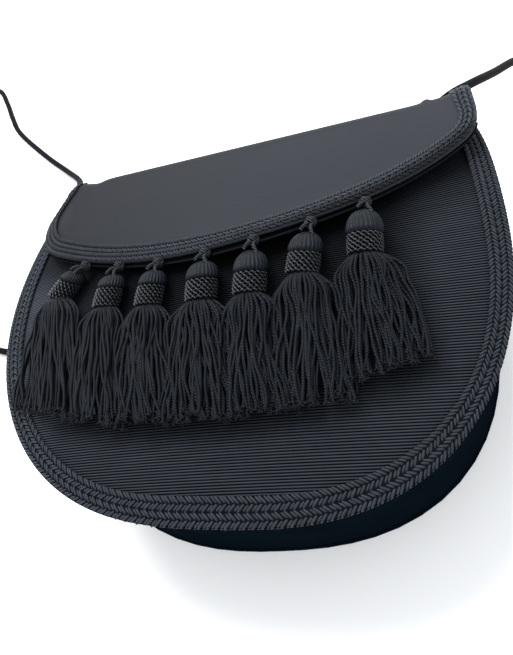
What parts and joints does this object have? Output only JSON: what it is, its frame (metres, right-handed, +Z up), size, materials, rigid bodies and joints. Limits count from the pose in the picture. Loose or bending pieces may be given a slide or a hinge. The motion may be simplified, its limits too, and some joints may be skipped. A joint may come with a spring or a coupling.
{
  "type": "crossbody bag",
  "caption": "Small round-bottomed crossbody evening bag in ribbed dark cloth, with a braid-edged fold-over flap, a row of tassels along the flap and a thin cord strap.",
  "frame": {"origin": "on the surface that the back panel rests on, under the middle of the bag without its strap", "axes": "+X along the bag's width to its right, +Y from the round bottom to the straight top, +Z up out of the front"},
  "size_m": [0.485, 0.4178, 0.0953],
  "materials": {
    "ribbed_cloth": "fine rib, soft satin sheen",
    "gusset_cloth": "fine rib, dull",
    "flap_cloth": "very fine rib, soft satin sheen",
    "braid": "flat plaited braid, slight lustre",
    "yarn": "twisted viscose cords, lustrous",
    "netting": "knotted net, glossy thread",
    "cord": "twisted cord"
  },
  "bodies": {
    "root": {"front_panel": "ribbed_cloth", "back_panel": "gusset_cloth", "gusset": "gusset_cloth", "flap": "flap_cloth", "front_braid": "braid", "flap_braid": "braid", "tassel_knot_1": "netting", "tassel_band_1": "netting", "tassel_1": "yarn", "tassel_knot_2": "netting", "tassel_band_2": "netting", "tassel_2": "yarn", "tassel_knot_3": "netting", "tassel_band_3": "netting", "tassel_3": "yarn", "tassel_knot_4": "netting", "tassel_band_4": "netting", "tassel_4": "yarn", "tassel_knot_5": "netting", "tassel_band_5": "netting", "tassel_5": "yarn", "tassel_knot_6": "netting", "tassel_band_6": "netting", "tassel_6": "yarn", "tassel_knot_7": "netting", "tassel_band_7": "netting", "tassel_7": "yarn", "strap_tab_left": "flap_cloth", "strap_tab_right": "flap_cloth", "strap": "cord"}
  },
  "joints": []
}
